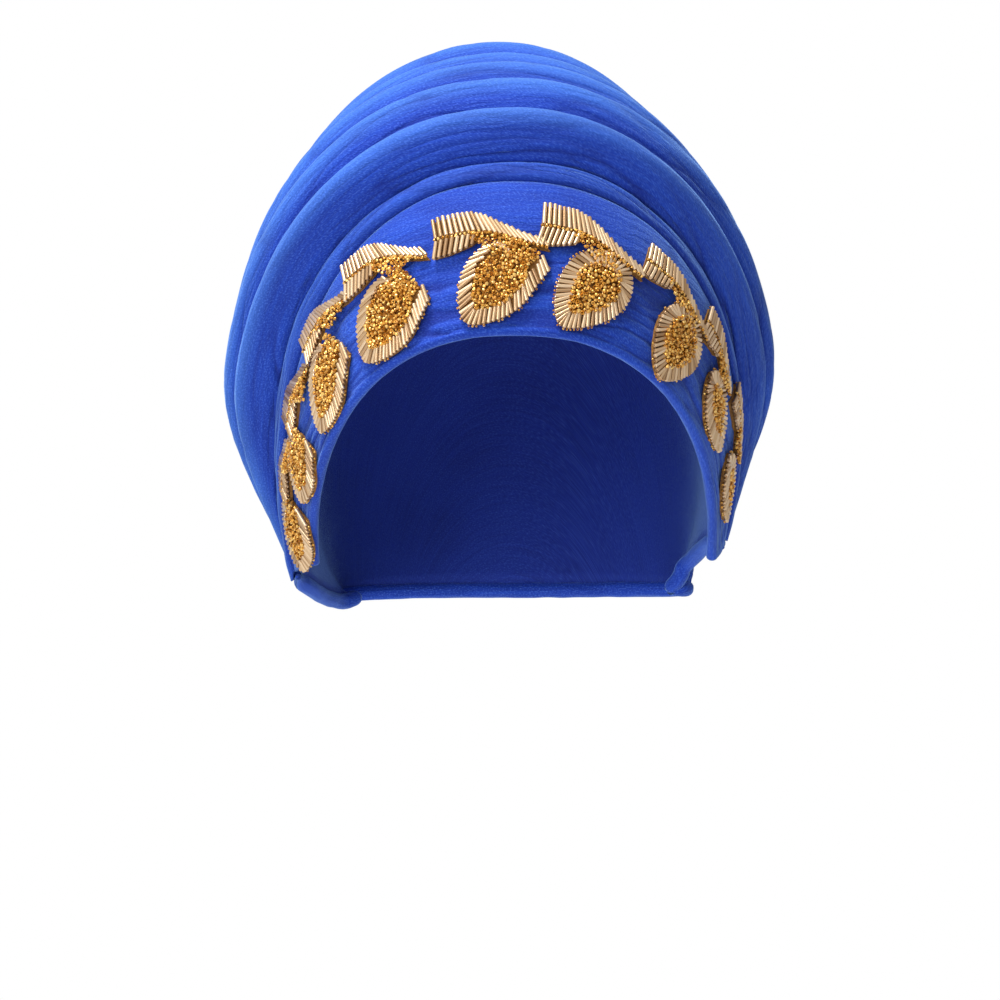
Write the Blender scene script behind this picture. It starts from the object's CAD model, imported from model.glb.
"""A tied head tie in crinkled royal-blue cloth, with a garland of beaded leaves on its front band.

Metres, +Z up. The face looks along -Y, and the origin is the centre of the head opening at brow level.
A place on the cap is given by two shares: across, from 0 at the edge over the forehead to 1 at the
nape, and along, from -1 at the foot on the left of a front view, over the top, to 1 on the right.
"""

import math

import bmesh
import bpy
import numpy as np
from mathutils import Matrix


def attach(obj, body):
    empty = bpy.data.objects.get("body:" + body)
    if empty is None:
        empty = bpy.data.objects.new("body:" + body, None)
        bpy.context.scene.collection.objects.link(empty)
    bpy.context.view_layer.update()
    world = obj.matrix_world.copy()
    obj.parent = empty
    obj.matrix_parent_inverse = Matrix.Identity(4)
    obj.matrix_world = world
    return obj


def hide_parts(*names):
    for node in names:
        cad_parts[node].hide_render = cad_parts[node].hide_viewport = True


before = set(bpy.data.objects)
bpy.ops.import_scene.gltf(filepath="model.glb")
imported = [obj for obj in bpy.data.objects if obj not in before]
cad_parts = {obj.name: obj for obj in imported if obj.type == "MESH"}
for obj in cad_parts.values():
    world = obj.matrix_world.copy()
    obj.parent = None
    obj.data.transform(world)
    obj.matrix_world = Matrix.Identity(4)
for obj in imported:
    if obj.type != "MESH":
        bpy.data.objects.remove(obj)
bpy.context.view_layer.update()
bpy.ops.object.select_all(action="DESELECT")

MM = 0.001

# Head opening and cap
HALF_BREADTH = 149 * MM / 2
HALF_LENGTH = 188 * MM / 2
CAP_HEIGHT = 142 * MM
HEM_DROP = 50 * MM

# Cloth and the room that its sheets keep
CLOTH = 1.2 * MM
CLEARANCE = 0.6 * MM
SEAT_GAP = 0.4 * MM
OVER_CAP = CLOTH + SEAT_GAP
STANDING = CLOTH / 2 + SEAT_GAP
BESIDE = (CLOTH + CLEARANCE) / 2

# Wrap
PLEAT_RISE = 21 * MM
PLEAT_EDGE_RADIUS = 3.4 * MM
BAND_HEM = 9 * MM
BAND_TOP = 0.146
GATHER_DEPTH = 2.2 * MM
GATHER_COUNT = 13
GATHER_QUICKNESS = 1.6
CUT_GATHERING = 1.15

# The rolled binding round the nape: how far it stands out from the cap, how far its middle lies past the
# cap's edge, the share across the cap at which it starts, and how thick its two tips are and how soon
# they reach its full radius
NAPE_ROLL_RADIUS = 3.3 * MM
NAPE_ROLL_LIFT = 1.5 * MM
NAPE_ROLL_AWAY = NAPE_ROLL_RADIUS - 0.9 * MM
NAPE_ROLL_START = 0.13
NAPE_ROLL_CORNER = 0.94
NAPE_ROLL_TIP = 0.35
NAPE_ROLL_TAPER = 12 * MM

# Beaded leaves. A spray's beads stand fuller than its backing is wide.
LEAF_LENGTH = 35 * MM
LEAF_WIDTH = 25 * MM
SPRAY_LENGTH = 36 * MM
SPRAY_WIDTH = 13 * MM
SPRAY_FULLNESS = 1.2

# The cap's arches. Backs are shares of half the head's length, ups of the cap's height, downs of the
# hem's drop, and widths of half the head's breadth. Turn is the angle in degrees, seen from the front,
# through which an arch goes from its top to its foot, and square the power of its rounding.
CAP_COLUMNS = (
    "across", "top_aside", "top_back", "top_up", "foot_back",
    "down_left", "down_right", "left", "right", "turn_left", "turn_right", "square",
)
CAP_ARCHES = (
    (0.0, 0, -1.02, 0.338, 0.085, 0.72, 0.68, 1.02, 1.02, 90, 90, 2.3),
    (0.075, 0, -0.957, 0.54, 0.17, 0.76, 0.62, 1.085, 1.065, 98, 101, 2.25),
    (0.146, 0, -0.81, 0.715, 0.27, 0.8, 0.55, 1.13, 1.11, 106, 108, 2.2),
    (0.265, -0.05, -0.383, 0.908, 0.42, 0.88, 0.52, 1.15, 1.11, 116, 112, 2.1),
    (0.4, -0.07, 0.19, 1.0, 0.55, 0.94, 0.56, 1.13, 1.09, 118, 114, 2.05),
    (0.56, -0.07, 0.8, 0.86, 0.68, 0.98, 0.64, 1.1, 1.06, 120, 116, 2.05),
    (0.74, -0.04, 1.11, 0.41, 0.76, 1.0, 0.72, 1.05, 1.02, 120, 117, 2.1),
    (0.88, -0.02, 1.1, 0.03, 0.79, 1.0, 0.82, 0.99, 0.97, 117, 114, 2.15),
    (1.0, 0, 0.97, -0.324, 0.82, 1.0, 0.9, 0.93, 0.92, 112, 110, 2.2),
)

# Where each pleat begins and ends across the cap, how far back over it its crest stands, as a share of its
# width, and how far the crest stands out at the top and at its two sides, as shares of the pleats' rise.
PLEATS = (
    dict(name="lip_fold", front=0.146, back=0.164, crest=1, top=0.24, left=0.26, right=0.16),
    dict(name="fold_1", front=0.164, back=0.197, crest=1, top=0.94, left=0.97, right=0.72),
    dict(name="fold_2", front=0.197, back=0.25, crest=0.5, top=1.08, left=1.13, right=0.96),
    dict(name="fold_3", front=0.25, back=0.305, crest=0.42, top=0.96, left=1.08, right=0.9),
    dict(name="fold_4", front=0.305, back=0.362, crest=0.36, top=0.85, left=1.0, right=0.8),
    dict(name="crown_fold", front=0.362, back=0.418, crest=0.34, top=0.97, left=0.96, right=0.68),
    dict(name="back_fold_1", front=0.418, back=0.474, crest=0.4, top=0.86, left=0.9, right=0.62),
    dict(name="back_fold_2", front=0.474, back=0.53, crest=0.45, top=0.75, left=0.76, right=0.54),
    dict(name="back_fold_3", front=0.53, back=0.586, crest=0.55, top=0.62, left=0.58, right=0.46),
)
PANEL_START = PLEATS[-1]["back"]

# The rise at the feet, as a share of the pleats' rise, and the shares along an arch at which a crest comes
# to its side's rise, begins to sink to its foot, and begins to spread evenly
PLEAT_END_RISE = 0.22
PLEAT_SHOULDER = 0.5
PLEAT_PINCH_START = 0.66
PLEAT_SPREAD_START = 0.25

# A crest is rounded to at most these shares of the pleat's width and of its rise
EDGE_OF_WIDTH = 0.3
EDGE_OF_RISE = 0.45

# A pleat slopes down behind its crest to the first share of its crest's rise, on a back that bulges, and
# there the next one starts. Behind a crest at its own back edge it starts at the second share. A face is a
# curve whose ends are pulled by a share of its length, and it comes to its crest turned by a share of its
# slope.
VALLEY_RISE = 0.5
FACE_START = 0.66
BACK_BULGE = 9 * MM
FACE_PULL = 0.32
FACE_TURN = 0.95
STEEPEST_FACE = 1.4

# The garland, from the left-hand foot to the right: for each leaf and spray its share along the arch and
# its share up the band's width, and for the leaf also its shares of the full width and length and its slant
# in degrees. Tall is the height of the spray's rows of beads as a share of their full height, reach how much
# longer they run than its backing, drop how far they hang over the leaf's top, and tilt how far their end is
# turned down, in degrees. Sweep is how far the bugles of the leaf's left and right edges lean to its stem,
# in degrees. An open top has seeds up to the spray in place of bugles.
GARLAND = (
    dict(
        leaf=(-0.93, 0.35, 0.76, 0.92), slant=8, sweep=(45, 35), open_top=True,
        spray=(-0.78, 0.89), tall=0.85, reach=-4 * MM, drop=3 * MM, tilt=0,
    ),
    dict(
        leaf=(-0.765, 0.29, 0.84, 0.84), slant=14, sweep=(45, 35), open_top=True,
        spray=(-0.645, 0.82), tall=0.95, reach=-1 * MM, drop=2.5 * MM, tilt=0,
    ),
    dict(
        leaf=(-0.565, 0.29, 0.92, 1.04), slant=28, sweep=(52, 36), open_top=True,
        spray=(-0.495, 0.77), tall=0.9, reach=0, drop=0.5 * MM, tilt=4,
    ),
    dict(
        leaf=(-0.345, 0.28, 1.06, 1), slant=32, sweep=(56, 36), open_top=True,
        spray=(-0.32, 0.72), tall=1, reach=3 * MM, drop=2 * MM, tilt=11,
    ),
    dict(
        leaf=(-0.05, 0.28, 1, 1), slant=50, sweep=(56, 36), open_top=True,
        spray=(-0.068, 0.66), tall=1, reach=5 * MM, drop=4 * MM, tilt=2,
    ),
    dict(
        leaf=(0.2, 0.3, 1, 1), slant=58, sweep=(20, 30), open_top=False,
        spray=(0.18, 0.69), tall=1, reach=5 * MM, drop=4 * MM, tilt=2,
    ),
    dict(
        leaf=(0.455, 0.31, 1.05, 0.9), slant=84, sweep=(25, 25), open_top=False,
        spray=(0.41, 0.75), tall=0.74, reach=6 * MM, drop=4.5 * MM, tilt=-1,
    ),
    dict(
        leaf=(0.65, 0.34, 0.7, 0.95), slant=160, sweep=(25, 25), open_top=False,
        spray=(0.59, 0.8), tall=0.75, reach=-1 * MM, drop=3.5 * MM, tilt=0,
    ),
    dict(
        leaf=(0.84, 0.36, 0.52, 0.9), slant=170, sweep=(25, 25), open_top=False,
        spray=(0.76, 0.88), tall=0.6, reach=-4 * MM, drop=2 * MM, tilt=0,
    ),
)


# Small sums on arrays


def smooth(x):
    """A step from 0 to 1 with soft ends."""
    x = np.clip(x, 0, 1)
    return x * x * (3 - 2 * x)


def mix(a, b, share):
    """What lies between two values, by a share."""
    return a + (b - a) * share


def unit(v):
    """Vectors brought to a length of one."""
    return v / np.linalg.norm(v, axis=-1, keepdims=True)


def dot(a, b):
    """Dot products of the vectors in two arrays."""
    return (a * b).sum(axis=-1)


LATTICE_CELLS = 128


def lattice_noise(u, v, seed):
    """Soft noise from 0 to 1, with one random value at each corner of a lattice of unit cells."""
    size = LATTICE_CELLS
    corner = np.random.default_rng(seed).random((size, size))
    i = np.floor(u).astype(int)
    j = np.floor(v).astype(int)
    fu = smooth(u - i)
    fv = smooth(v - j)
    near = mix(corner[i % size, j % size], corner[(i + 1) % size, j % size], fu)
    far = mix(corner[i % size, (j + 1) % size], corner[(i + 1) % size, (j + 1) % size], fu)
    return mix(near, far, fv)


# The cap's surface


def column(key, across):
    """A column of the cap's table between its rows, on a smooth curve through them."""
    table = np.array(CAP_ARCHES)
    rows = table[:, 0]
    values = table[:, CAP_COLUMNS.index(key)]
    slopes = np.empty_like(values)
    slopes[1:-1] = (values[2:] - values[:-2]) / (rows[2:] - rows[:-2])
    slopes[0] = (values[1] - values[0]) / (rows[1] - rows[0])
    slopes[-1] = (values[-1] - values[-2]) / (rows[-1] - rows[-2])
    i = np.clip(np.searchsorted(rows, across, side="left") - 1, 0, len(rows) - 2)
    span = rows[i + 1] - rows[i]
    u = (across - rows[i]) / span
    start = (2 * u**3 - 3 * u**2 + 1) * values[i] + (u**3 - 2 * u**2 + u) * span * slopes[i]
    end = (3 * u**2 - 2 * u**3) * values[i + 1] + (u**3 - u**2) * span * slopes[i + 1]
    before = values[i] + slopes[i] * (across - rows[i])
    after = values[i + 1] + slopes[i + 1] * (across - rows[i + 1])
    return np.where(u <= 0, before, np.where(u >= 1, after, start + end))


def cap_point(across, along):
    """Points of the cap's middle surface, for arrays of the two shares."""
    across, along = np.broadcast_arrays(np.asarray(across, float), np.asarray(along, float))
    left = along < 0
    pick = lambda a, b: np.where(left, column(a, across), column(b, across))
    width = HALF_BREADTH * pick("left", "right")
    last = np.radians(pick("turn_left", "turn_right"))
    foot_up = -HEM_DROP * pick("down_left", "down_right")
    square = column("square", across)

    def reach(angle):
        return (np.abs(np.sin(angle)) ** square + np.abs(np.cos(angle)) ** square) ** (-1 / square)

    angle = np.abs(along) * last
    lowest = reach(last) * np.cos(last)
    height = (reach(angle) * np.cos(angle) - lowest) / (1 - lowest)
    aside = HALF_BREADTH * column("top_aside", across) * np.maximum(0, height)
    x = np.sign(along) * width * reach(angle) * np.sin(angle) + aside
    y = HALF_LENGTH * mix(column("foot_back", across), column("top_back", across), height)
    z = mix(foot_up, CAP_HEIGHT * column("top_up", across), height)
    return np.stack([x, y, z], axis=-1)


class CapFrame:
    """Points of the cap and unit vectors at them, as the part's source gives them."""

    def __init__(self, across, along):
        step = 0.002
        along_way = cap_point(across, along + step) - cap_point(across, along - step)
        across_way = cap_point(across + step, along) - cap_point(across - step, along)
        self.point = cap_point(across, along)
        self.out = unit(np.cross(along_way, across_way))
        self.aside = unit(np.cross(across_way, self.out))
        self.forward = unit(along_way)
        self.back = np.cross(self.out, self.forward)
        self.per_along = np.linalg.norm(along_way, axis=-1) / (2 * step)
        self.per_across = np.linalg.norm(across_way, axis=-1) / (2 * step)
        self.lean = dot(across_way, self.forward) / dot(across_way, self.back)
        self.straight_across = dot(across_way, self.back) / (2 * step)

    def offset(self, back_by, out_by):
        """Points moved back over the cap and out from it, by lengths in metres."""
        back_by = np.asarray(back_by)[..., None]
        out_by = np.asarray(out_by)[..., None]
        return self.point + self.back * back_by + self.out * out_by


# Cloth


def grid_normals(grid):
    """The normal at each point of a grid of rows across and columns along."""
    down = np.gradient(grid, axis=0)
    sideways = np.gradient(grid, axis=1)
    return unit(np.cross(sideways, down))


def lengths(grid, axis):
    """How far each point lies along its row or column, in metres."""
    steps = np.linalg.norm(np.diff(grid, axis=axis), axis=-1)
    start = np.zeros_like(steps.take([0], axis=axis))
    return np.concatenate([start, np.cumsum(steps, axis=axis)], axis=axis)


# Crinkles: the length and spacing of the soft and the fine ripples and of the deep and the thin creases,
# how far each moves the cloth, and how much each counts in its depth
RIPPLE = dict(length=0.034, spacing=0.0042, push=0.8 * MM, share=0.5)
FINE = dict(length=0.012, spacing=0.0018, push=0.35 * MM, share=0.35)
DEEP = dict(length=0.045, spacing=0.0055, push=0.6 * MM, share=0.75)
THIN = dict(length=0.024, spacing=0.0024, push=0.3 * MM, share=0.35)
CREASE_THINNESS = 0.16
DEPTH_CONTRAST = 1.4
WRAP_LIFT = 0.25 * MM
DEEPEST = 1.4 * MM
# The share of an arch at each foot over which the crinkles fade out
CALM_FOOT = 0.04


def creases(along_m, across_m, length, spacing, seed):
    """Thin valleys that run along the arches, from 0 on the open cloth to 1 at the bottom."""
    wander = spacing * lattice_noise(along_m / (0.7 * length), across_m / (3 * spacing), seed + 1)
    noise = lattice_noise(along_m / length, (across_m + 1.6 * wander) / spacing, seed)
    return np.clip(1 - np.abs(noise - 0.5) / CREASE_THINNESS, 0, 1) ** 1.5


def ripples(along_m, across_m, kind, seed):
    """Soft waves that run along the arches, from -0.5 to 0.5."""
    return lattice_noise(along_m / kind["length"], across_m / kind["spacing"], seed) - 0.5


def crinkle(grid, strength, seed, lift=WRAP_LIFT, deepest=DEEPEST):
    """Moves a grid of crinkled cloth along its normals, and says how deep each point lies, from 0 to 1."""
    along_m = lengths(grid, 1) + 1
    across_m = lengths(grid, 0) + 1
    ripple = ripples(along_m, across_m, RIPPLE, seed)
    fine = ripples(along_m, across_m, FINE, seed + 5)
    deep = creases(along_m, across_m, DEEP["length"], DEEP["spacing"], seed + 9)
    thin = creases(along_m, across_m, THIN["length"], THIN["spacing"], seed + 15)
    push = RIPPLE["push"] * ripple + FINE["push"] * fine - DEEP["push"] * deep - THIN["push"] * thin
    push = np.maximum(strength * (push + lift), -deepest)
    shade = DEEP["share"] * deep + THIN["share"] * thin - RIPPLE["share"] * ripple - FINE["share"] * fine
    depth = np.clip(DEPTH_CONTRAST * strength * shade, 0, 1)
    return grid + grid_normals(grid) * push[..., None], depth


def lay_cloth(mesh, u, v):
    """Gives a mesh the UV map "cloth", from a place for each of its points, and shades it smooth."""
    corners = np.empty(len(mesh.loops), np.int32)
    mesh.loops.foreach_get("vertex_index", corners)
    layer = mesh.uv_layers.new(name="cloth")
    layer.data.foreach_set("uv", np.stack([u[corners], v[corners]], axis=1).astype(np.float32).ravel())
    mesh.polygons.foreach_set("use_smooth", np.ones(len(mesh.polygons), bool))


def cloth_shell(name, grid, depth=0.0, bloom=0.0):
    """A sheet as a closed shell. Its UV map holds its lengths along and across, in metres, the attribute
    "depth" how deep each point lies in the crinkles, and "bloom" how far it is brushed pale."""
    rows, columns = grid.shape[:2]
    normals = grid_normals(grid)
    count = rows * columns
    points = np.concatenate([
        (grid + normals * CLOTH / 2).reshape(-1, 3),
        (grid - normals * CLOTH / 2).reshape(-1, 3),
    ])
    index = np.arange(count).reshape(rows, columns)
    a, b = index[:-1, :-1].ravel(), index[:-1, 1:].ravel()
    c, d = index[1:, 1:].ravel(), index[1:, :-1].ravel()
    outer = np.stack([a, b, c, d], axis=1)
    inner = np.stack([a, d, c, b], axis=1) + count

    def rim(line):
        return np.stack([line[1:], line[:-1], line[:-1] + count, line[1:] + count], axis=1)

    around = [rim(index[0]), rim(index[-1, ::-1]), rim(index[::-1, 0]), rim(index[:, -1])]
    faces = np.concatenate([outer, inner, *around])
    mesh = bpy.data.meshes.new(name)
    mesh.from_pydata(points.tolist(), [], faces.tolist())
    lay_cloth(mesh, np.tile(lengths(grid, 1).ravel(), 2), np.tile(lengths(grid, 0).ravel(), 2))
    for kind, values in (("depth", depth), ("bloom", bloom)):
        attribute = mesh.attributes.new(kind, "FLOAT", "POINT")
        values = np.broadcast_to(values, (rows, columns)).ravel()
        attribute.data.foreach_set("value", np.tile(values, 2).astype(np.float32))
    piece = bpy.data.objects.new(name, mesh)
    bpy.context.collection.objects.link(piece)
    return piece


def arch_places(steps):
    """Evenly spaced places along an arch, from foot to foot."""
    return np.linspace(-1, 1, steps + 1)


def calm_feet(along):
    """How strong the crinkles are along an arch: full, but none at its two feet."""
    return smooth((1 - np.abs(along)) / CALM_FOOT)[None, :]


def pleat_line(share, number, along):
    """Where a pleat's edge lies across the cap: on its own share at the top, spread evenly at the feet."""
    at_foot = mix(BAND_TOP, PANEL_START, number / len(PLEATS))
    spread = smooth((np.abs(along) - PLEAT_SPREAD_START) / (1 - PLEAT_SPREAD_START))
    return mix(share, at_foot, spread)


def pleat_rise(pleat, along):
    """How far a pleat's crest stands out, in metres, along its arch."""
    distance = np.abs(along)
    side = np.where(along < 0, pleat["left"], pleat["right"])
    share = mix(pleat["top"], side, smooth(distance / PLEAT_SHOULDER))
    end = np.minimum(share, PLEAT_END_RISE)
    return PLEAT_RISE * mix(share, end, smooth((distance - PLEAT_PINCH_START) / (1 - PLEAT_PINCH_START)))


def has_slope(pleat):
    """Whether a pleat's crest stands before its back edge, with a slope of cloth behind it."""
    return pleat["crest"] < 1


def valley_share(pleat):
    """The share of a crest's rise at which the pleat behind it starts."""
    return VALLEY_RISE if has_slope(pleat) else FACE_START


# Where the random numbers of each piece's crinkles and beads start
BAND_DRAWS = 11
PLEAT_DRAWS = 100
DRAWS_APART = 20
PANEL_DRAWS = 400
ROLL_DRAWS = 500
LEAF_DRAWS = 700
SPRAY_DRAWS = 800

# Rows of a pleat's grid: up to its face, round its crest, and down its wall
UP_STEPS = 3
CREST_STEPS = 8
WALL_STEPS = 3


def steps_to(start, end, steps):
    """Even steps from one line of points to another, without the first."""
    return [mix(start, end, t) for t in np.linspace(0, 1, steps + 1)[1:]]


def pleat_grid(index, along, face_steps, slope_steps):
    """A pleat's middle surface: up behind the crest before it, over its face, round its crest, down."""
    pleat = PLEATS[index]
    front_across = pleat_line(pleat["front"], index, along)
    back_across = pleat_line(pleat["back"], index + 1, along)
    front = CapFrame(front_across, along)
    back = CapFrame(back_across, along)
    top = CapFrame(mix(front_across, back_across, pleat["crest"]), along)
    beside = BESIDE + 0 * along
    standing = STANDING + 0 * along
    rise = pleat_rise(pleat, along)
    width = np.linalg.norm(back.point - front.point, axis=-1) - 2 * BESIDE
    radius = np.minimum(PLEAT_EDGE_RADIUS, np.minimum(EDGE_OF_WIDTH * width, EDGE_OF_RISE * rise))
    behind = STANDING + CLOTH
    if index:
        before = PLEATS[index - 1]
        behind = valley_share(before) * pleat_rise(before, along)
    start_rise = np.maximum(STANDING + CLOTH / 2, np.minimum(behind, FACE_START * rise))
    foot = front.offset(beside, standing)
    start = front.offset(beside, start_rise)
    centre = mix(
        front.offset(BESIDE + radius, rise - radius),
        back.offset(-BESIDE - radius, rise - radius),
        pleat["crest"],
    )
    reach = centre - start
    slope = np.arctan2(dot(reach, top.out), dot(reach, top.back))
    first = math.pi / 2 + FACE_TURN * np.clip(slope, 0, STEEPEST_FACE)

    def on_crest(angle):
        aside = top.back * (radius * np.cos(angle))[:, None]
        return centre + aside + top.out * (radius * np.sin(angle))[:, None]

    arrive = on_crest(first)
    pull = (FACE_PULL * np.linalg.norm(reach, axis=-1))[:, None]
    heading = top.back * np.sin(first)[:, None] - top.out * np.cos(first)[:, None]
    second = start + front.out * pull
    third = arrive - heading * pull
    face = []
    for t in np.linspace(0, 1, face_steps + 1):
        s = 1 - t
        face.append(s**3 * start + 3 * s * s * t * second + 3 * s * t * t * third + t**3 * arrive)
    valley = back.offset(-beside, valley_share(pleat) * rise)
    fall = valley - centre
    last = 0 * along
    if has_slope(pleat):
        last = math.pi / 2 + np.arctan2(dot(fall, top.out), dot(fall, top.back))
    crest = [on_crest(mix(first, last, t)) for t in np.linspace(0, 1, CREST_STEPS + 1)[1:]]
    down_slope = []
    if has_slope(pleat):
        for t in np.linspace(0, 1, slope_steps + 1)[1:]:
            down_slope.append(mix(crest[-1], valley, t) + BACK_BULGE * t * t * (1 - t) * top.out)
    down = back.offset(-beside, standing)
    up = [foot, *steps_to(foot, start, UP_STEPS)[:-1]]
    wall = steps_to((crest + down_slope)[-1], down, WALL_STEPS)
    return np.stack([*up, *face, *crest, *down_slope, *wall])


def stand_for(name, piece, cloth):
    """Says what a finished piece of cloth is and what it stands for."""
    piece.data.materials.append(cloth)
    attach(piece, "root")
    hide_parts(name)


def wrap_piece(name, piece, cloth, flat):
    """Finishes a sheet of the wrap, which rests on the cap."""
    stand_for(name, piece, cloth)


def cut_of(grid, gathered=1.0):
    """The flat size of a sheet's cut, from its middle lines and how much it is gathered."""
    across = lengths(grid, 0)[-1].mean()
    along = lengths(grid, 1)[:, -1].mean()
    return (float(along), float(across * gathered))


# The first pleats are seen from the front and have finer grids: columns, and rows over face and back slope
SEEN_PLEATS = 5
SEEN_GRID = dict(columns=360, face=30, slope=10)
HIDDEN_GRID = dict(columns=200, face=20, slope=8)
# How strong the crinkles are on a pleat, on the lip, and on the first fold's face and at its foot
PLEAT_CRINKLE = 0.6
LIP_CRINKLE = 0.7
FIRST_FACE_CRINKLE = 0.35
FIRST_FOOT_CRINKLE = 1.0
# How far the pale of a crest reaches down its face and its back, the share of it that the lip has, and how
# much of it is lost on the right
BLOOM_DOWN_FACE = 9 * MM
BLOOM_DOWN_BACK = 5 * MM
LIP_BLOOM = 0.3
BLOOM_LOST = 0.85
# The share of a pleat's rows that lie in the valley's shade, and how dark it is on the left and the right
VALLEY_ROWS = 0.3
VALLEY_SHADE = (0.3, 0.9)


def make_pleat(index, cloth):
    """A crinkled pleat, pale on its crest and dark in the valley before it."""
    pleat = PLEATS[index]
    size = SEEN_GRID if index < SEEN_PLEATS else HIDDEN_GRID
    along = arch_places(size["columns"])
    grid = pleat_grid(index, along, size["face"], size["slope"])
    share = np.linspace(0, 1, len(grid))[:, None]
    strength = np.full(grid.shape[:2], PLEAT_CRINKLE)
    if pleat["name"] == "fold_1":
        foot = 1 - smooth((share - 0.2) / 0.3)
        strength = FIRST_FACE_CRINKLE + FIRST_FOOT_CRINKLE * foot + 0 * grid[..., 0]
    if pleat["name"] == "lip_fold":
        strength[:] = LIP_CRINKLE
    crest_row = UP_STEPS + size["face"] + CREST_STEPS // 2
    past = lengths(grid, 0) - lengths(grid, 0)[crest_row]
    on_face = 1 - smooth(-past / BLOOM_DOWN_FACE)
    on_back = 1 - smooth(past / BLOOM_DOWN_BACK)
    to_right = 1 - BLOOM_LOST * smooth((along - 0.1) / 0.5)
    bloom = np.where(past < 0, on_face, on_back) * to_right[None, :] * (LIP_BLOOM if index == 0 else 1)
    grid, depth = crinkle(grid, strength * calm_feet(along), PLEAT_DRAWS + DRAWS_APART * index)
    in_valley = 1 - smooth(share / VALLEY_ROWS)
    shaded = in_valley * mix(*VALLEY_SHADE, smooth((along + 0.1) / 0.6))[None, :]
    piece = cloth_shell(pleat["name"] + "_cloth", grid, np.maximum(depth, shaded), bloom)
    wrap_piece(pleat["name"], piece, cloth, cut_of(grid))


CAP_GRID_COLUMNS = 120
CAP_GRID_ROWS = 90


def make_cap(cloth):
    """The close cap that carries the wrap."""
    along = arch_places(CAP_GRID_COLUMNS)
    rows = np.linspace(0, 1, CAP_GRID_ROWS + 1)
    grid = cap_point(rows[:, None], along[None, :])
    piece = cloth_shell("cap_cloth", grid)
    stand_for("cap", piece, cloth)
    cut_of(grid)


# The band's grid: rows inside the cap, round the edge, and over the forehead
BAND_COLUMNS = 460
BAND_INNER_ROWS = 8
BAND_TURN_ROWS = 9
BAND_OUTER_ROWS = 60
# The turned cloth reaches towards this share of the band's width. Its crinkles are calm at the turn and
# strong from the edge to past the middle, and there they are pressed flat rather than lifted.
BAND_TURNED_SHARE = BAND_TOP / 6
TURN_CRINKLE = 0.2
BAND_CRINKLE = 0.35
BAND_WORN_CRINKLE = 1.65
BAND_LIFT = -0.2 * MM
BAND_DEEPEST = 0.9 * MM


def make_front_band(cloth):
    """The gathered band over the forehead, with its edge turned round the cap's."""
    along = arch_places(BAND_COLUMNS)
    none = 0 * along
    edge = CapFrame(0.0, along)
    next_row = CapFrame(BAND_TURNED_SHARE, along)
    hem = np.minimum(1, BAND_HEM / np.linalg.norm(next_row.point - edge.point, axis=-1))
    at_edge = edge.offset(none, none - OVER_CAP)
    at_next = next_row.offset(none, none - OVER_CAP)
    inside = [mix(at_edge, at_next, (hem * t)[:, None]) for t in np.linspace(1, 0, BAND_INNER_ROWS)[:-1]]
    turn = [
        edge.offset(OVER_CAP * math.cos(a) + none, OVER_CAP * math.sin(a) + none)
        for a in np.linspace(-math.pi / 2, -1.5 * math.pi, BAND_TURN_ROWS)
    ]
    top = BAND_TOP - BESIDE / CapFrame(BAND_TOP, along).per_across
    over = []
    for share in np.linspace(0, 1, BAND_OUTER_ROWS + 1)[1:]:
        over.append(CapFrame(top * share, along).offset(none, OVER_CAP + none))
    grid = np.stack([*inside, *turn, *over])
    rows = np.linspace(0, 1, len(over))[:, None]
    worn = BAND_CRINKLE + BAND_WORN_CRINKLE * (1 - smooth((rows - 0.5) / 0.3))
    strength = np.concatenate([np.zeros((len(inside), 1)), np.full((len(turn), 1), TURN_CRINKLE), worn])
    grid, depth = crinkle(grid, strength * calm_feet(along), BAND_DRAWS, BAND_LIFT, BAND_DEEPEST)
    piece = cloth_shell("front_band_cloth", grid, depth)
    wrap_piece("front_band", piece, cloth, cut_of(grid, CUT_GATHERING))


PANEL_COLUMNS = 230
PANEL_ROWS = 60
PANEL_CRINKLE = 0.6


def make_back_panel(cloth):
    """Plain cloth from the last pleat to the nape, gathered into soft furrows."""
    along = arch_places(PANEL_COLUMNS)
    first = CapFrame(PANEL_START, along)
    start = PANEL_START + BESIDE / first.per_across
    wave = 0.5 - 0.5 * np.cos(GATHER_COUNT * math.pi * along)
    rows = []
    for share in np.linspace(0, 1, PANEL_ROWS + 1):
        gather = GATHER_DEPTH * wave * smooth(share * GATHER_QUICKNESS) * (1 - along * along)
        rows.append(CapFrame(mix(start, 1, share), along).offset(0 * along, OVER_CAP + gather))
    grid, depth = crinkle(np.stack(rows), PANEL_CRINKLE * calm_feet(along), PANEL_DRAWS)
    piece = cloth_shell("back_panel_cloth", grid, depth)
    wrap_piece("back_panel", piece, cloth, cut_of(grid, CUT_GATHERING))


def smooth_curve(points, samples):
    """A centripetal curve through points, at evenly spaced samples of its own measure."""
    points = np.asarray(points)
    points = np.concatenate([[2 * points[0] - points[1]], points, [2 * points[-1] - points[-2]]])
    knots = np.concatenate([[0], np.cumsum(np.sqrt(np.linalg.norm(np.diff(points, axis=0), axis=1)))])
    at = np.linspace(knots[1], knots[-2], samples)
    i = np.clip(np.searchsorted(knots, at, side="right") - 1, 1, len(points) - 3)
    p = [points[i + k] for k in (-1, 0, 1, 2)]
    k = [knots[i + n][:, None] for n in (-1, 0, 1, 2)]
    t = at[:, None]

    def between(a, b, ta, tb):
        return (tb - t) / (tb - ta) * a + (t - ta) / (tb - ta) * b

    a1, a2, a3 = (between(p[n], p[n + 1], k[n], k[n + 1]) for n in range(3))
    b1 = between(a1, a2, k[0], k[2])
    b2 = between(a2, a3, k[1], k[3])
    return between(b1, b2, k[1], k[2])


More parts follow.
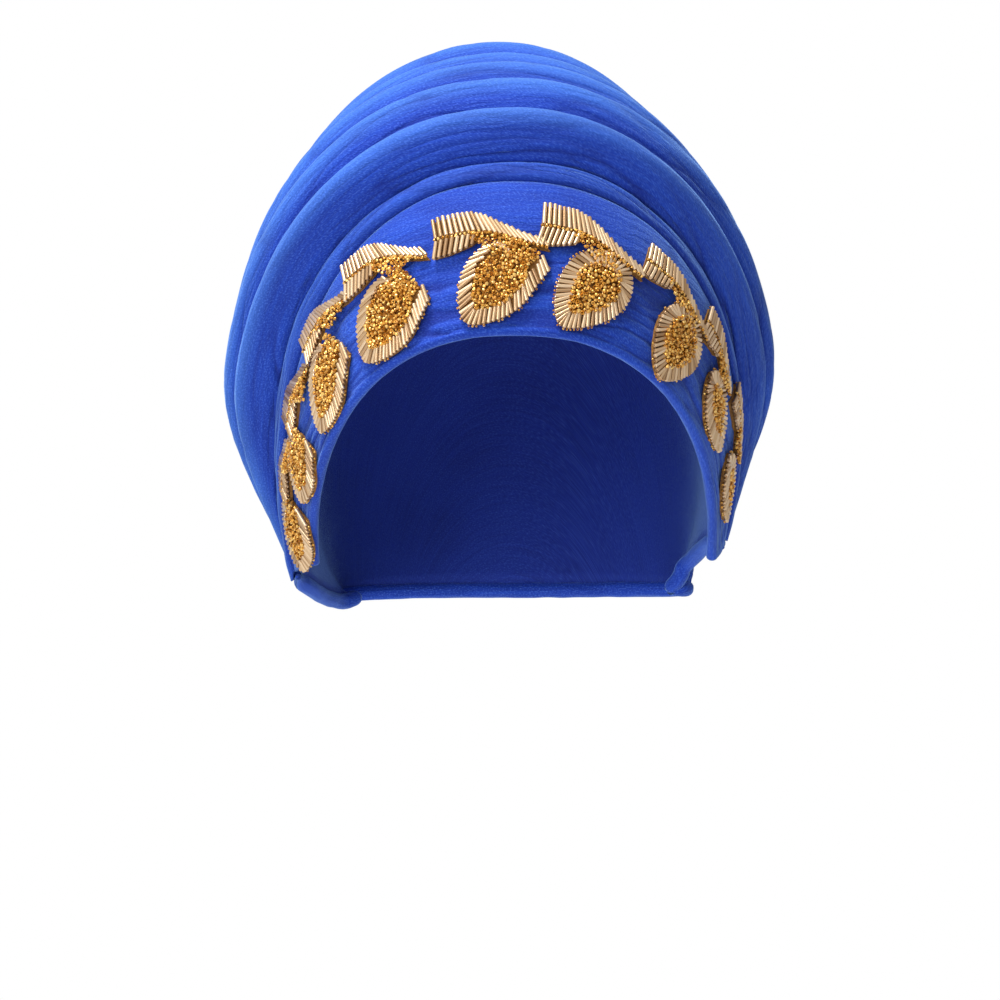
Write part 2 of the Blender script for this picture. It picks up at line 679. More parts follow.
# The roll's grid, and its wrinkles: a winding twist and soft noise, as shares of its radius
ROLL_PLACES = 13
ROLL_RINGS = 420
ROLL_SIDES = 20
TWIST_LENGTH = 20 * MM
WRINKLE_LENGTH = 6 * MM
TWIST_DEPTH = 0.03
WRINKLE_DEPTH = 0.1
ROLL_FULLNESS = 0.96
# A place inside the head that the roll's outer side faces away from
ROLL_FACES_FROM = np.array([0, 20 * MM, 30 * MM])


def roll_line():
    """The roll's middle line, from behind one ear, down and round the nape, to behind the other ear."""

    def beside(across, side):
        at = CapFrame(across, side)
        return at.offset(0.0, NAPE_ROLL_LIFT) + at.aside * side * NAPE_ROLL_AWAY

    def corner(side):
        at = CapFrame(1.0, side)
        return at.offset(0.0, NAPE_ROLL_LIFT) + unit(at.back + at.aside * side) * NAPE_ROLL_AWAY

    def below(along):
        return CapFrame(1.0, along).offset(NAPE_ROLL_AWAY, NAPE_ROLL_LIFT)

    sides = np.linspace(NAPE_ROLL_START, NAPE_ROLL_CORNER, ROLL_PLACES)
    path = [beside(a, -1.0) for a in sides] + [corner(-1.0)]
    path += [below(a) for a in np.linspace(-NAPE_ROLL_CORNER, NAPE_ROLL_CORNER, ROLL_PLACES)]
    path += [corner(1.0)] + [beside(a, 1.0) for a in sides[::-1]]
    return smooth_curve(path, ROLL_RINGS)


def make_nape_roll(cloth):
    """The padded binding, whose outer side faces away from the middle of the head."""
    line = roll_line()
    ahead = unit(np.gradient(line, axis=0))
    out = line - ROLL_FACES_FROM
    out = unit(out - ahead * dot(out, ahead)[:, None])
    across = np.cross(ahead, out)
    turn = np.linspace(0, 2 * math.pi, ROLL_SIDES + 1)[:-1]
    at = lengths(line[None], 1)[0]
    twist = np.add.outer(at / TWIST_LENGTH, turn)
    waves_along = at[:, None] / WRINKLE_LENGTH + 9
    wrinkle = lattice_noise(waves_along, 3 * np.cos(turn)[None, :] + 9, ROLL_DRAWS) - 0.5
    to_end = np.minimum(at, at[-1] - at)[:, None]
    taper = mix(NAPE_ROLL_TIP, 1, smooth(to_end / NAPE_ROLL_TAPER))
    swell = ROLL_FULLNESS + WRINKLE_DEPTH * wrinkle + TWIST_DEPTH * np.cos(twist)
    radius = (NAPE_ROLL_RADIUS * taper * swell)[..., None]
    around = out[:, None] * np.cos(turn)[None, :, None] + across[:, None] * np.sin(turn)[None, :, None]
    ring = line[:, None] + radius * around
    points = np.concatenate([ring.reshape(-1, 3), line[[0, -1]]])
    faces = []
    last_ring = (ROLL_RINGS - 1) * ROLL_SIDES
    first_end, last_end = len(points) - 2, len(points) - 1
    for a in range(0, last_ring, ROLL_SIDES):
        b = a + ROLL_SIDES
        for j in range(ROLL_SIDES):
            n = (j + 1) % ROLL_SIDES
            faces.append((a + j, a + n, b + n, b + j))
    for j in range(ROLL_SIDES):
        n = (j + 1) % ROLL_SIDES
        faces.append((first_end, n, j))
        faces.append((last_end, last_ring + j, last_ring + n))
    mesh = bpy.data.meshes.new("nape_roll_cloth")
    mesh.from_pydata(points.tolist(), [], faces)
    u = np.append(np.repeat(at, ROLL_SIDES), [0, at[-1]])
    v = np.append(np.tile(turn * NAPE_ROLL_RADIUS, len(line)), [0, 0])
    lay_cloth(mesh, u, v)
    piece = bpy.data.objects.new("nape_roll_cloth", mesh)
    bpy.context.collection.objects.link(piece)
    stand_for("nape_roll", piece, cloth)


# Beads

BUGLE_PITCH = 1.85 * MM
BUGLE_RADIUS = 0.76 * MM
BUGLE_LENGTH = 6.4 * MM
BUGLE_SIDES = 8
# The flat, the crown and the bore at a bugle's two ends
BUGLE_FLAT = 0.25 * BUGLE_RADIUS
BUGLE_CROWN = 0.12 * BUGLE_RADIUS
BUGLE_BORE = 0.7 * BUGLE_RADIUS
SEED_RADIUS = 1.0 * MM
SEED_RING = 0.66 * SEED_RADIUS
SEED_WALL = 0.34 * SEED_RADIUS
SEED_SIDES = 7
SEED_WALL_SIDES = 4
SEED_TALLNESS = 1.7
# How much a sewn seed faces outwards, how much anyhow, and how sizes vary
SEED_OUTWARDS = 0.7
SEED_ANYHOW = 0.9
SEED_SIZES = (0.82, 1.1)
# Places of a piece's materials in its list
BUGLE, SEED, THREAD = 0, 1, 2
# The stiffening's two faces and how much it is domed
PAD_TOP = 0.45 * MM
PAD_BOTTOM = -0.6 * MM
PAD_CROWN = 0.4 * MM
BEADS_OVER_CAP = OVER_CAP + CLOTH / 2 + SEAT_GAP
# Edges of the bead-work that turn more than this look sharp
BEAD_CREASE = math.radians(50)


def bead_arrays(bead):
    """A bead's points and faces, once it is made, so that it can be sewn on again and again."""
    points = np.array([v.co[:] for v in bead.data.vertices])
    faces = [tuple(f.vertices) for f in bead.data.polygons]
    bpy.data.objects.remove(bead, do_unlink=True)
    return points, faces


def make_bugle():
    """A glass tube along Z with softened rims and a bore at each end."""
    bpy.ops.mesh.primitive_cylinder_add(vertices=BUGLE_SIDES, radius=BUGLE_RADIUS, depth=BUGLE_LENGTH)
    bead = bpy.context.object
    bpy.ops.object.mode_set(mode="EDIT")
    bpy.ops.mesh.select_mode(type="FACE")
    for end in (1, -1):
        bpy.ops.mesh.select_all(action="DESELECT")
        shape = bmesh.from_edit_mesh(bead.data)
        for face in shape.faces:
            face.select_set(face.normal.z * end > 0.9)
        bmesh.update_edit_mesh(bead.data)
        bpy.ops.mesh.inset(thickness=BUGLE_FLAT, depth=BUGLE_CROWN)
        bpy.ops.mesh.inset(thickness=BUGLE_FLAT, depth=-BUGLE_BORE)
    bpy.ops.object.mode_set(mode="OBJECT")
    return bead_arrays(bead)


def make_seed():
    """A small faceted ring of glass about Z."""
    bpy.ops.mesh.primitive_torus_add(
        major_segments=SEED_SIDES,
        minor_segments=SEED_WALL_SIDES,
        major_radius=SEED_RING,
        minor_radius=SEED_WALL,
    )
    bead = bpy.context.object
    bpy.ops.object.mode_set(mode="EDIT")
    bpy.ops.mesh.select_all(action="SELECT")
    bpy.ops.transform.resize(value=(1, 1, SEED_TALLNESS))
    bpy.ops.object.mode_set(mode="OBJECT")
    return bead_arrays(bead)


class BeadWork:
    """Gathers the beads of one leaf, which is turned on its patch of the band."""

    def __init__(self, patch, turn, models, rng):
        self.patch, self.turn, self.rng = patch, turn, rng
        self.bugle, self.seed = models
        self.points, self.faces, self.finish, self.tone = [], [], [], []
        self.count = 0

    def place(self, spot, height):
        """A point over the band at a place on the leaf, and the way out from the band there."""
        return self.patch.place(*(self.turn @ spot), height)

    def gather(self, points, faces, finish, tone):
        """Adds one part with its finish, a place in the list of materials, and its tone."""
        self.points.append(points)
        self.faces += [tuple(self.count + corner for corner in face) for face in faces]
        self.finish += [finish] * len(faces)
        self.tone += [tone] * len(points)
        self.count += len(points)

    def add(self, model, place, along, out, size, finish, tone):
        """A bead with its drilled axis along a direction. Size scales it across and along its axis."""
        points, faces = model
        along = unit(along)
        aside = unit(np.cross(out, along))
        axes = np.stack([aside, np.cross(along, aside), along])
        self.gather(place + points * np.array([size[0], size[0], size[1]]) @ axes, faces, finish, tone)

    def lay_pad(self, outline):
        """The thin closed stiffening that the beads are sewn to, each face with a point in its middle."""
        n = len(outline)
        m = n + 1
        points, faces = [], []
        for height in (PAD_TOP, PAD_BOTTOM):
            points += [self.place(spot, height)[0] for spot in outline]
            points.append(self.place(outline.mean(axis=0), height + PAD_CROWN)[0])
        for i in range(n):
            j = (i + 1) % n
            faces += [(n, i, j), (m + n, m + j, m + i), (i, m + i, m + j, j)]
        self.gather(np.array(points), faces, THREAD, 0.5)

    def lay_bugle(self, start, end, heights):
        """A bugle from one place to another, at some height between two in millimetres."""
        height = self.rng.uniform(*heights) * MM
        a, out = self.place(start, height)
        b, _ = self.place(end, height)
        size = (1.0, np.linalg.norm(b - a) / BUGLE_LENGTH)
        self.add(self.bugle, (a + b) / 2, b - a, out, size, BUGLE, self.rng.random())

    def scatter_seed(self, spot, height, scale):
        """A seed that leans anyhow."""
        at, out = self.place(spot, height)
        along = unit(out * SEED_OUTWARDS + SEED_ANYHOW * unit(self.rng.normal(size=3)))
        size = scale * self.rng.uniform(*SEED_SIZES)
        other = unit(self.rng.normal(size=3))
        self.add(self.seed, at, along, other, (size, size), SEED, self.rng.random())

    def build(self, name, materials):
        """Makes one piece of it all, which stands for the leaf's or the spray's backing."""
        mesh = bpy.data.meshes.new(f"{name}_beads")
        mesh.from_pydata(np.concatenate(self.points).tolist(), [], self.faces)
        mesh.polygons.foreach_set("material_index", np.array(self.finish, np.int32))
        layer = mesh.attributes.new("tone", "FLOAT", "POINT")
        layer.data.foreach_set("value", np.array(self.tone, np.float32))
        piece = bpy.data.objects.new(f"{name}_beads", mesh)
        bpy.context.collection.objects.link(piece)
        for material in materials:
            mesh.materials.append(material)
        bpy.ops.object.select_all(action="DESELECT")
        piece.select_set(True)
        bpy.context.view_layer.objects.active = piece
        bpy.ops.object.shade_smooth_by_angle(angle=BEAD_CREASE)
        piece.select_set(False)
        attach(piece, "root")
        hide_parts(name)


class BandPatch:
    """The band's surface about a centre. Left runs along the arch, and edgeward to the forehead."""

    def __init__(self, along, up_band):
        self.across = BAND_TOP * up_band
        self.along = along
        self.at = CapFrame(self.across, along)

    def place(self, left_by, edgeward_by, out_by):
        """A point moved by lengths in metres, and the way out from the band there."""
        across = self.across - edgeward_by / self.at.straight_across
        along = self.along - (left_by - edgeward_by * self.at.lean) / self.at.per_along
        here = CapFrame(across, along)
        return here.offset(0.0, BEADS_OVER_CAP + out_by), here.out


# Powers that draw a leaf's widest place a little to its stem and fill out its sides
LEAF_SHIFT = 0.85
LEAF_FULLNESS = 0.6
# An open top reaches from the stem to the widest place, and this is its least share of the width
OPEN_END = 0.44
OPEN_WIDTH = 0.85
OUTLINE_STEPS = 720


def leaf_reach(share):
    """How wide a hanging leaf is along its midrib, as a share of its full width."""
    return np.sin(math.pi * np.clip(share, 0, 1) ** LEAF_SHIFT) ** LEAF_FULLNESS


def leaf_outline(length, width, count, open_top):
    """Evenly spaced places round a hanging leaf: how far along its midrib, and to which side. A leaf with
    an open top keeps its full width up to the stem on the side away from the spray's lower row."""
    turn = np.linspace(0, 2 * math.pi, OUTLINE_STEPS + 1)[:-1]
    share = 0.5 - 0.5 * np.cos(turn)
    side = np.where(np.sin(turn) < 0, -1, 1)
    reach = leaf_reach(share)
    if open_top:
        full = np.maximum(reach, mix(OPEN_WIDTH, 1.0, share / OPEN_END))
        reach = np.where((side > 0) & (share < OPEN_END), full, reach)
    along = length * (share - 0.5)
    aside = side * width * 0.5 * reach
    loop = np.stack([along, aside], axis=1)
    closed = np.concatenate([loop, loop[:1]])
    gone = np.concatenate([[0], np.cumsum(np.linalg.norm(np.diff(closed, axis=0), axis=1))])
    at = np.linspace(0, gone[-1], count + 1)[:-1]
    return np.stack([np.interp(at, gone, closed[:, 0]), np.interp(at, gone, closed[:, 1])], axis=1), gone[-1]


def is_crowded(spot, placed, spacing):
    """Whether a place is nearer than a spacing to one that is taken."""
    return bool(placed) and min(np.linalg.norm(spot - p) for p in placed) < spacing


LEAF_PAD_POINTS = 48
LEAF_PAD_SHARE = 0.97
# A leaf's bugles: how long they are at most, and as a share of its width, how their lengths vary, how much
# they waver, how much smaller than the leaf the outline of their ends is, and their heights in millimetres
LONGEST_BUGLE = 5.8 * MM
BUGLE_OF_WIDTH = 0.42
BUGLE_LENGTHS = (0.93, 1.05)
BUGLE_WAVER = 0.06
EDGE_INSET = 0.6 * MM
BUGLE_HEIGHTS = (1.0, 1.3)
# Where they point to along the leaf, and the share of the leaf over which they come to their full sweep
LEAF_HEART = 0.1
SWEEP_REACHED = 0.3
# An open top has no bugles before these shares of the leaf, in its middle and on the lower row's side
OPEN_MIDDLE = 0.03
OPEN_CORNER = 0.12
# Small seeds past the ends of some bugles
EDGING_OUTSET = 0.5 * MM
EDGING_PITCH = 1.35 * MM
EDGING_CHANCE = 0.45
EDGING_HEIGHT = 0.5 * MM
EDGING_SCALE = 0.5
# The seeds inside lie in two layers, with heights and spacings in millimetres. Their field is narrower than
# the leaf by a share of a bugle's length, wider at an open top, shorter than the leaf, and shifted to its
# stem by a share of its length.
SEED_LAYERS = (dict(low=0.8, high=1.2, spacing=1.15), dict(low=1.6, high=2.3, spacing=1.2))
SEED_TRIES = 1500
SEED_SCALE = 0.86
UNDER_BUGLES = 0.8
OPEN_ROOM = 0.2
LEAST_ROOM = 0.2 * MM
FIELD_LENGTH = 0.8
OPEN_FIELD_LENGTH = 0.98
FIELD_SHIFT = 0.02


def sew_edge(work, row, length, width, pitch_count, bugle_long):
    """Bugles side by side round a leaf's edge, that lean to its stem."""
    open_top = row["open_top"]
    edge, _ = leaf_outline(length - EDGE_INSET, width - EDGE_INSET, pitch_count, open_top)
    ahead = np.roll(edge, -1, axis=0) - np.roll(edge, 1, axis=0)
    left_sweep, right_sweep = (math.radians(angle) for angle in row["sweep"])
    for outer, way_round in zip(edge, ahead):
        share = outer[0] / length + 0.5
        on_left = outer[1] < 0
        if open_top and (share < OPEN_MIDDLE or (share < OPEN_CORNER and on_left)):
            continue
        inward = unit(np.array([-way_round[1], way_round[0]]))
        if dot(inward, outer - [LEAF_HEART * length, 0]) > 0:
            inward = -inward
        sweep = (left_sweep if on_left else right_sweep) * float(smooth(share / SWEEP_REACHED))
        if open_top and outer[1] > 0:
            sweep = right_sweep
        way = unit(math.cos(sweep) * inward + math.sin(sweep) * np.array([-1.0, 0.0]))
        waver = work.rng.normal(scale=BUGLE_WAVER, size=2)
        inner = outer + unit(way + waver) * bugle_long * work.rng.uniform(*BUGLE_LENGTHS)
        work.lay_bugle(outer, inner, BUGLE_HEIGHTS)


def heap_seeds(work, layer, tries, open_top, length, width, bugle_long):
    """One layer of the seeds inside a leaf."""
    placed = []
    for _ in range(tries):
        share = work.rng.random()
        side = work.rng.uniform(-1, 1)
        room = 0.5 * width * leaf_reach(share) - UNDER_BUGLES * bugle_long
        if open_top:
            room = max(room, OPEN_ROOM * width * float(smooth((0.4 - share) / 0.3)))
        if room <= LEAST_ROOM:
            continue
        field = OPEN_FIELD_LENGTH if open_top and share < 0.5 else FIELD_LENGTH
        spot = np.array([length * (field * (share - 0.5) - FIELD_SHIFT), side * room])
        if is_crowded(spot, placed, layer["spacing"] * MM):
            continue
        placed.append(spot)
        work.scatter_seed(spot, work.rng.uniform(layer["low"], layer["high"]) * MM, SEED_SCALE)


def make_leaf(number, row, models, materials):
    """A hanging leaf: bugles round its edge, small seeds past them and a heap of seeds inside."""
    along, up_band, wide, long = row["leaf"]
    slant = math.radians(row["slant"])
    turn = np.array([[math.cos(slant), -math.sin(slant)], [math.sin(slant), math.cos(slant)]])
    work = BeadWork(BandPatch(along, up_band), turn, models, np.random.default_rng(LEAF_DRAWS + number))
    length, width = LEAF_LENGTH * long, LEAF_WIDTH * wide
    open_top = row["open_top"]
    outline, around = leaf_outline(length, width, LEAF_PAD_POINTS, open_top)
    work.lay_pad(outline * LEAF_PAD_SHARE)
    bugle_long = min(LONGEST_BUGLE, BUGLE_OF_WIDTH * width)
    sew_edge(work, row, length, width, int(around / BUGLE_PITCH), bugle_long)
    _, around = leaf_outline(length - EDGE_INSET, width - EDGE_INSET, LEAF_PAD_POINTS, open_top)
    edging_count = int(around / EDGING_PITCH)
    edging, _ = leaf_outline(length + EDGING_OUTSET, width + EDGING_OUTSET, edging_count, open_top)
    for outer in edging:
        if work.rng.random() < EDGING_CHANCE:
            work.scatter_seed(outer, EDGING_HEIGHT, EDGING_SCALE)
    for layer in SEED_LAYERS:
        heap_seeds(work, layer, int(SEED_TRIES * wide), open_top, length, width, bugle_long)
    work.build(f"leaf_{number}", materials)


# A spray's lower row is as long as this share of the spray. Bugles of the upper row stand just over the
# midrib and lean from nearly upright at the stem to well over, and those of the lower row hang under it.
LOWER_SHARE = 0.45
SPRAY_BUGLE_HEIGHTS = (1.5, 1.8)
UPPER_FOOT = 0.5 * MM
UPPER_LEANS = (0.05, 0.75)
UPPER_LENGTHS = (0.97, 1.05)
LOWER_TOP = -0.9 * MM
LOWER_GAP = 0.6 * MM
LOWER_WAY = np.array([-0.22, -0.97])
SPRAY_PAD_SHARE = 0.93
PAD_PLACES = 6
# Seeds past some of the upper row's tips
TIP_CHANCE = 0.4
TIP_GAP = 0.4 * MM
# A line of seeds along the midrib, and a patch of them where the lower row ends, with heights in
# millimetres
STEM_ENDS = (0.01, 0.99)
STEM_DROP = -0.2 * MM
STEM_PITCH = 1.5 * MM
STEM_WAVER = 0.2 * MM
STEM_HEIGHTS = (1.6, 2.1)
STEM_SCALE = 0.7
PATCH_TRIES = 600
PATCH_ENDS = (0.8, 1.95)
LEAST_DEPTH = 0.1 * MM
PATCH_SPACING = 1.05 * MM
PATCH_HEIGHTS = (1.2, 2.4)
PATCH_SCALE = 0.84


def spray_midrib(x):
    """How far a spray's midrib lies above its middle line, as a share of its half width."""
    return mix(0.2, -0.5, smooth((x - 0.3) / 0.7))


def spray_height(x):
    """How tall the upper row stands on the midrib: full at the stem, short where it joins the next."""
    return mix(1.0, 0.55, smooth((x - 0.45) / 0.55))


def make_spray(number, row, models, materials):
    """An upper leaf: a full row of bugles over the midrib, a short row under it, and seeds."""
    tilt = math.radians(row["tilt"])
    turn = np.array([[-math.cos(tilt), -math.sin(tilt)], [math.sin(tilt), -math.cos(tilt)]])
    work = BeadWork(BandPatch(*row["spray"]), turn, models, np.random.default_rng(SPRAY_DRAWS + number))
    rng = work.rng
    half = SPRAY_FULLNESS * SPRAY_WIDTH * row["tall"] / 2
    start, end = -SPRAY_LENGTH / 2, SPRAY_LENGTH / 2 + row["reach"]
    length = end - start
    lower_end = LOWER_SHARE * SPRAY_LENGTH / length
    count = int(length / BUGLE_PITCH)

    def at(x, up):
        """A place at a share of the spray's length, so far over its midrib."""
        return np.array([start + length * x, half * spray_midrib(x) + up - row["drop"]])

    def under(x):
        """How long the lower row's bugles are, shorter to its end."""
        return 0.95 * half * (1 - 0.6 * smooth((x - 0.3 * lower_end) / lower_end)) - LOWER_GAP

    upper, lower = [], []
    for k in range(count):
        x = (k + 0.5) / count
        lean = mix(*UPPER_LEANS, smooth(x / 0.9))
        tall = half * spray_height(x) * rng.uniform(*UPPER_LENGTHS)
        base = at(x, UPPER_FOOT)
        tip = base + tall * np.array([-math.sin(lean), math.cos(lean)])
        upper.append(mix(base, tip, SPRAY_PAD_SHARE))
        work.lay_bugle(base, tip, SPRAY_BUGLE_HEIGHTS)
        if rng.random() < TIP_CHANCE:
            work.scatter_seed(tip + TIP_GAP * unit(tip - base), EDGING_HEIGHT, EDGING_SCALE)
    for k in range(int(lower_end * count)):
        x = (k + 0.5) / count
        top = at(x, LOWER_TOP)
        tip = top + under(x) * LOWER_WAY
        lower.append(mix(top, tip, SPRAY_PAD_SHARE))
        work.lay_bugle(top, tip, SPRAY_BUGLE_HEIGHTS)
    past_lower = [at(x, LOWER_TOP) for x in np.linspace(lower_end + 0.5 / count, 1, PAD_PLACES)]
    work.lay_pad(np.array(upper + past_lower[::-1] + lower[::-1]))
    for x in np.arange(*STEM_ENDS, STEM_PITCH / length):
        spot = at(x, STEM_DROP + rng.normal(scale=STEM_WAVER))
        work.scatter_seed(spot, rng.uniform(*STEM_HEIGHTS) * MM, STEM_SCALE)
    placed = []
    for _ in range(int(PATCH_TRIES * row["tall"])):
        x = rng.uniform(*PATCH_ENDS) * lower_end
        deep = half * (0.95 - 1.3 * abs(x / lower_end - 1.3))
        spot = at(x, -rng.uniform(0, 1) * max(deep, LEAST_DEPTH))
        if is_crowded(spot, placed, PATCH_SPACING):
            continue
        placed.append(spot)
        work.scatter_seed(spot, rng.uniform(*PATCH_HEIGHTS) * MM, PATCH_SCALE)
    work.build(f"spray_{number}", materials)


# Materials


def srgb(r, g, b):
    """A colour as shaders want it, from 0 to 255 as screens show it."""
    parts = [c / 255 for c in (r, g, b)]
    return tuple(c / 12.92 if c <= 0.04045 else ((c + 0.055) / 1.055) ** 2.4 for c in parts) + (1.0,)


# What the hollows' colour is multiplied by, the flecks' colour, and what is added to it on a brushed crest
HOLLOW_SHADE = (0.5, 0.5, 0.66, 1.0)
PALE_FLECKS = srgb(104, 146, 236)
BRUSHED = (0.034, 0.092, 0.135, 1.0)
# Noise in a metre of cloth, along and across, for puckers, streaks and grain, and in a metre for clouds of
# uneven dye, how strong the grain is where flecks begin and are full, the shares of streaks and clouds in
# the dye, and how deep the first three go as bump
PUCKERS = (60, 420, 1)
STREAKS = (25, 900, 1)
GRAIN = (1300, 1700, 1)
CLOUDS = 22.0
FLECKED_GRAIN = (0.5, 0.75)
STREAK_SHARE = 0.45
CLOUD_SHARE = 0.3
PUCKER_DEPTH = 0.9 * MM
STREAK_DEPTH = 0.4 * MM
GRAIN_DEPTH = 0.3 * MM
# The waves of old glass and the fibres of the stiffening, in a metre, and how deep they go
GLASS_WAVES = 1400.0
GLASS_DEPTH = 0.08 * MM
FIBRES = 900.0
FIBRE_DEPTH = 0.2 * MM


class Finish:
    """A material's nodes, made and joined in plain steps."""

    def __init__(self, name):
        self.material = bpy.data.materials.new(name)
        self.material.use_nodes = True
        self.nodes = self.material.node_tree.nodes
        self.links = self.material.node_tree.links
        self.surface = self.nodes["Principled BSDF"]

    def node(self, kind, **settings):
        node = self.nodes.new(kind)
        for key, value in settings.items():
            setattr(node, key, value)
        return node

    def join(self, output, socket):
        self.links.new(output, socket)

    def set(self, **sockets):
        """Plain values of the surface, by socket name with _ for each space."""
        for name, value in sockets.items():
            self.surface.inputs[name.replace("_", " ")].default_value = value

    def mixed(self, factor, a, b, colours=None):
        """A mix of two values, or of two colours in one of Blender's ways. Each is an output or plain."""
        node = self.node("ShaderNodeMix", data_type="RGBA" if colours else "FLOAT")
        if colours:
            node.blend_type = colours
        for name, value in (("Factor", factor), ("A", a), ("B", b)):
            if isinstance(value, bpy.types.NodeSocket):
                self.join(value, node.inputs[name])
            else:
                node.inputs[name].default_value = value
        return node.outputs["Result"]

    def read(self, attribute):
        """An attribute of the piece's points."""
        return self.node("ShaderNodeAttribute", attribute_name=attribute).outputs["Fac"]

    def mapped(self, coordinate, scale):
        """Coordinates stretched so that noise of scale 1 has so many waves in a metre."""
        source = self.node("ShaderNodeTexCoord")
        mapping = self.node("ShaderNodeMapping")
        mapping.inputs["Scale"].default_value = scale
        self.join(source.outputs[coordinate], mapping.inputs["Vector"])
        return mapping.outputs["Vector"]

    def noise(self, vector, scale, detail):
        node = self.node("ShaderNodeTexNoise")
        node.inputs["Scale"].default_value = scale
        node.inputs["Detail"].default_value = detail
        self.join(vector, node.inputs["Vector"])
        return node.outputs["Fac"]

    def ramp(self, value, stops):
        node = self.node("ShaderNodeValToRGB")
        elements = node.color_ramp.elements
        while len(elements) < len(stops):
            elements.new(0.5)
        for element, (position, colour) in zip(elements, stops):
            element.position = position
            element.color = colour
        self.join(value, node.inputs["Fac"])
        return node.outputs["Color"]

    def bump(self, height, distance, strength, before=None):
        """A relief, over the one before it if there is one."""
        node = self.node("ShaderNodeBump")
        node.inputs["Distance"].default_value = distance
        node.inputs["Strength"].default_value = strength
        self.join(height, node.inputs["Height"])
        if before is not None:
            self.join(before, node.inputs["Normal"])
        return node.outputs["Normal"]


def cloth_finish(name, shade, middle, light, crinkle_strength, fleck_share):
    """Matt crinkled dress cloth: threads, small puckers along the arches and uneven dye."""
    finish = Finish(name)
    pucker = finish.noise(finish.mapped("UV", PUCKERS), 1.0, 3.0)
    streaks = finish.noise(finish.mapped("UV", STREAKS), 1.0, 2.0)
    grain = finish.noise(finish.mapped("UV", GRAIN), 1.0, 3.0)
    cloud = finish.noise(finish.mapped("Object", (1, 1, 1)), CLOUDS, 3.0)
    dye = finish.mixed(CLOUD_SHARE, finish.mixed(STREAK_SHARE, grain, streaks), cloud)
    colour = finish.ramp(dye, [(0.32, shade), (0.5, middle), (0.68, light)])
    flecks = finish.node("ShaderNodeMapRange")
    flecks.inputs["From Min"].default_value, flecks.inputs["From Max"].default_value = FLECKED_GRAIN
    flecks.inputs["To Max"].default_value = fleck_share
    finish.join(grain, flecks.inputs["Value"])
    colour = finish.mixed(flecks.outputs["Result"], colour, PALE_FLECKS, "MIX")
    colour = finish.mixed(finish.read("bloom"), colour, BRUSHED, "ADD")
    colour = finish.mixed(finish.read("depth"), colour, HOLLOW_SHADE, "MULTIPLY")
    finish.join(colour, finish.surface.inputs["Base Color"])
    first = finish.bump(pucker, PUCKER_DEPTH, crinkle_strength)
    second = finish.bump(streaks, STREAK_DEPTH, 0.5 * crinkle_strength, first)
    third = finish.bump(grain, GRAIN_DEPTH, 0.9, second)
    finish.join(third, finish.surface.inputs["Normal"])
    finish.set(Roughness=0.78, Specular_IOR_Level=0.25)
    finish.set(Sheen_Weight=0.8, Sheen_Roughness=0.4, Sheen_Tint=srgb(150, 195, 255))
    return finish.material


def bead_finish(name, dark, middle, bright, roughness, metallic):
    """Shiny lined glass, each bead with its own tone."""
    finish = Finish(name)
    colour = finish.ramp(finish.read("tone"), [(0.0, dark), (0.45, middle), (1.0, bright)])
    finish.join(colour, finish.surface.inputs["Base Color"])
    grain = finish.noise(finish.mapped("Object", (1, 1, 1)), GLASS_WAVES, 2.0)
    finish.join(finish.bump(grain, GLASS_DEPTH, 0.5), finish.surface.inputs["Normal"])
    finish.set(Roughness=roughness, Metallic=metallic, Coat_Weight=0.4, Coat_Roughness=0.12)
    return finish.material


def thread_finish():
    """The dark gold stiffening and sewing thread between the beads."""
    finish = Finish("sewing_ground")
    fibres = finish.noise(finish.mapped("Object", (1, 1, 1)), FIBRES, 3.0)
    colour = finish.ramp(fibres, [(0.3, srgb(112, 72, 26)), (0.7, srgb(168, 118, 50))])
    finish.join(colour, finish.surface.inputs["Base Color"])
    finish.join(finish.bump(fibres, FIBRE_DEPTH, 0.7), finish.surface.inputs["Normal"])
    finish.set(Roughness=0.8)
    return finish.material


# The head tie

WRAP_BLUES = (srgb(14, 46, 148), srgb(22, 62, 176), srgb(34, 82, 202))
CAP_BLUES = (srgb(18, 36, 120), srgb(26, 50, 150), srgb(36, 64, 170))
PALE_GOLDS = (srgb(160, 122, 82), srgb(210, 176, 134), srgb(232, 204, 168))
AMBER_GOLDS = (srgb(176, 116, 34), srgb(226, 166, 64), srgb(242, 202, 118))
wrap_cloth = cloth_finish("blue_wrap_cloth", *WRAP_BLUES, crinkle_strength=0.8, fleck_share=0.34)
cap_cloth = cloth_finish("blue_cap_cloth", *CAP_BLUES, crinkle_strength=0.15, fleck_share=0.15)

make_cap(cap_cloth)
make_front_band(wrap_cloth)
for index in range(len(PLEATS)):
    make_pleat(index, wrap_cloth)
make_back_panel(wrap_cloth)
make_nape_roll(wrap_cloth)

bead_materials = [
    bead_finish("pale_gold_bugles", *PALE_GOLDS, roughness=0.34, metallic=0.66),
    bead_finish("amber_gold_seeds", *AMBER_GOLDS, roughness=0.34, metallic=0.6),
    thread_finish(),
]
bead_models = (make_bugle(), make_seed())
for number, row in enumerate(GARLAND, 1):
    make_leaf(number, row, bead_models, bead_materials)
    make_spray(number, row, bead_models, bead_materials)


# Stage, light and camera

FLOOR_DROP = 0.6
FLOOR_SIZE = 6
floor_finish = Finish("pale_floor")
floor_finish.set(Base_Color=srgb(250, 250, 250), Roughness=0.9)
bpy.ops.mesh.primitive_plane_add(size=FLOOR_SIZE, location=(0, 0, -FLOOR_DROP))
floor = bpy.context.object
floor.name = "floor"
floor.data.materials.append(floor_finish.material)


LIT_PLACE = (0, 0, 0.06)


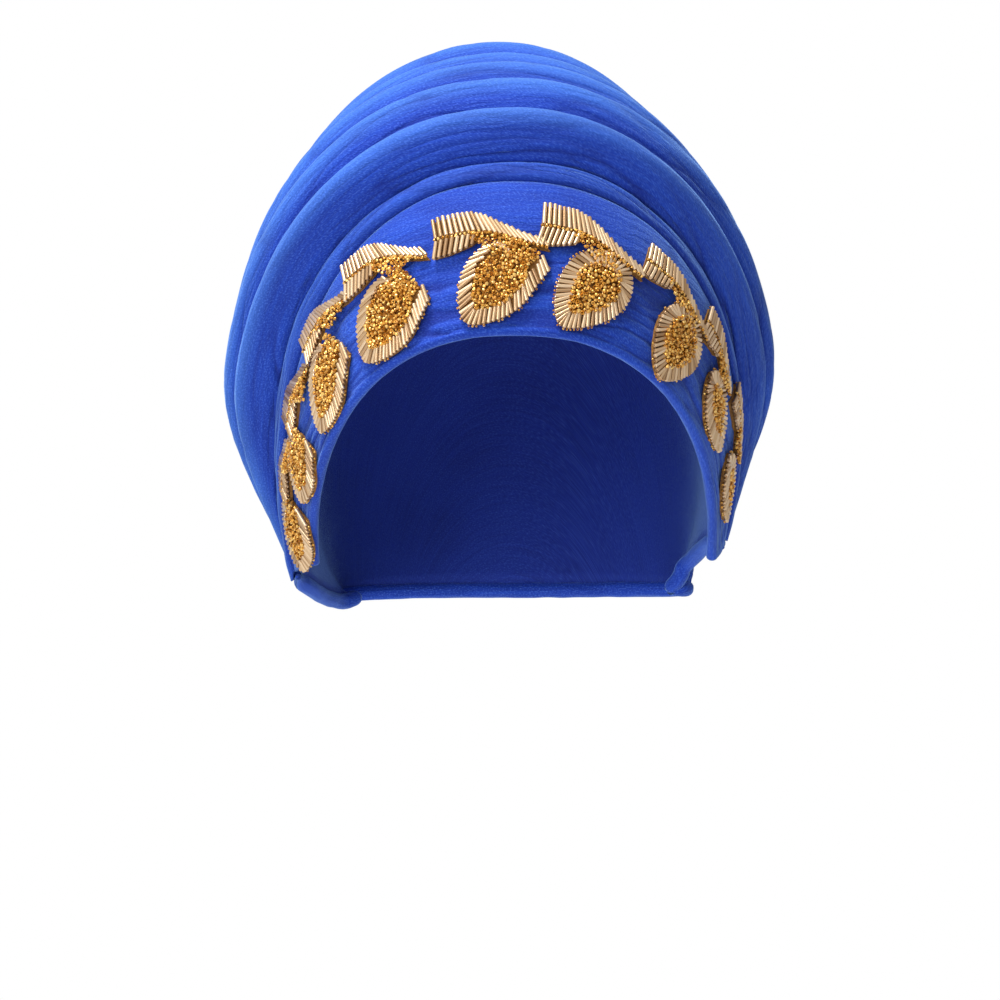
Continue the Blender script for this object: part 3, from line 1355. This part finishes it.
def soft_light(name, place, size, power):
    """A square of light that faces the head tie."""
    light = bpy.data.lights.new(name, "AREA")
    light.shape = "SQUARE"
    light.size = size
    light.energy = power
    lamp = bpy.data.objects.new(name, light)
    way = np.array(LIT_PLACE) - np.array(place)
    lamp.location = place
    lamp.rotation_euler = (
        math.atan2(math.hypot(way[0], way[1]), -way[2]),
        0,
        math.atan2(way[0], -way[1]) + math.pi,
    )
    bpy.context.collection.objects.link(lamp)


soft_light("key_light", (-0.5, -0.5, 1.6), size=0.6, power=39)
soft_light("fill_light", (-1.0, -1.7, 0.5), size=1.0, power=17)

WHITE = (1, 1, 1, 1)
AMBIENT = 0.31
BRIGHTER_RAYS = (("Is Glossy Ray", 0.7), ("Is Camera Ray", 1.0))


def studio_world():
    """Even light all round, brighter in reflections, and plain white where the camera looks past."""
    world = bpy.data.worlds.new("studio")
    world.use_nodes = True
    nodes, links = world.node_tree.nodes, world.node_tree.links
    around = nodes["Background"]
    around.inputs["Color"].default_value = WHITE
    around.inputs["Strength"].default_value = AMBIENT
    path = nodes.new("ShaderNodeLightPath")
    shown = around
    for ray, strength in BRIGHTER_RAYS:
        bright = nodes.new("ShaderNodeBackground")
        bright.inputs["Strength"].default_value = strength
        bright.inputs["Color"].default_value = WHITE
        either = nodes.new("ShaderNodeMixShader")
        links.new(path.outputs[ray], either.inputs["Fac"])
        links.new(shown.outputs[0], either.inputs[1])
        links.new(bright.outputs["Background"], either.inputs[2])
        shown = either
    links.new(shown.outputs[0], nodes["World Output"].inputs["Surface"])
    bpy.context.scene.world = world


studio_world()
bpy.context.scene.view_settings.view_transform = "Standard"

CAMERA_PLACE = (-4.94 * MM, -1.5, -12.5 * MM)
FOCAL_LENGTH = 142.1
SENSOR_WIDTH = 36
camera_data = bpy.data.cameras.new("camera")
camera_data.sensor_width = SENSOR_WIDTH
camera_data.lens = FOCAL_LENGTH
camera = bpy.data.objects.new("camera", camera_data)
camera.location = CAMERA_PLACE
camera.rotation_euler = (math.pi / 2, 0, 0)
bpy.context.collection.objects.link(camera)
bpy.context.scene.camera = camera
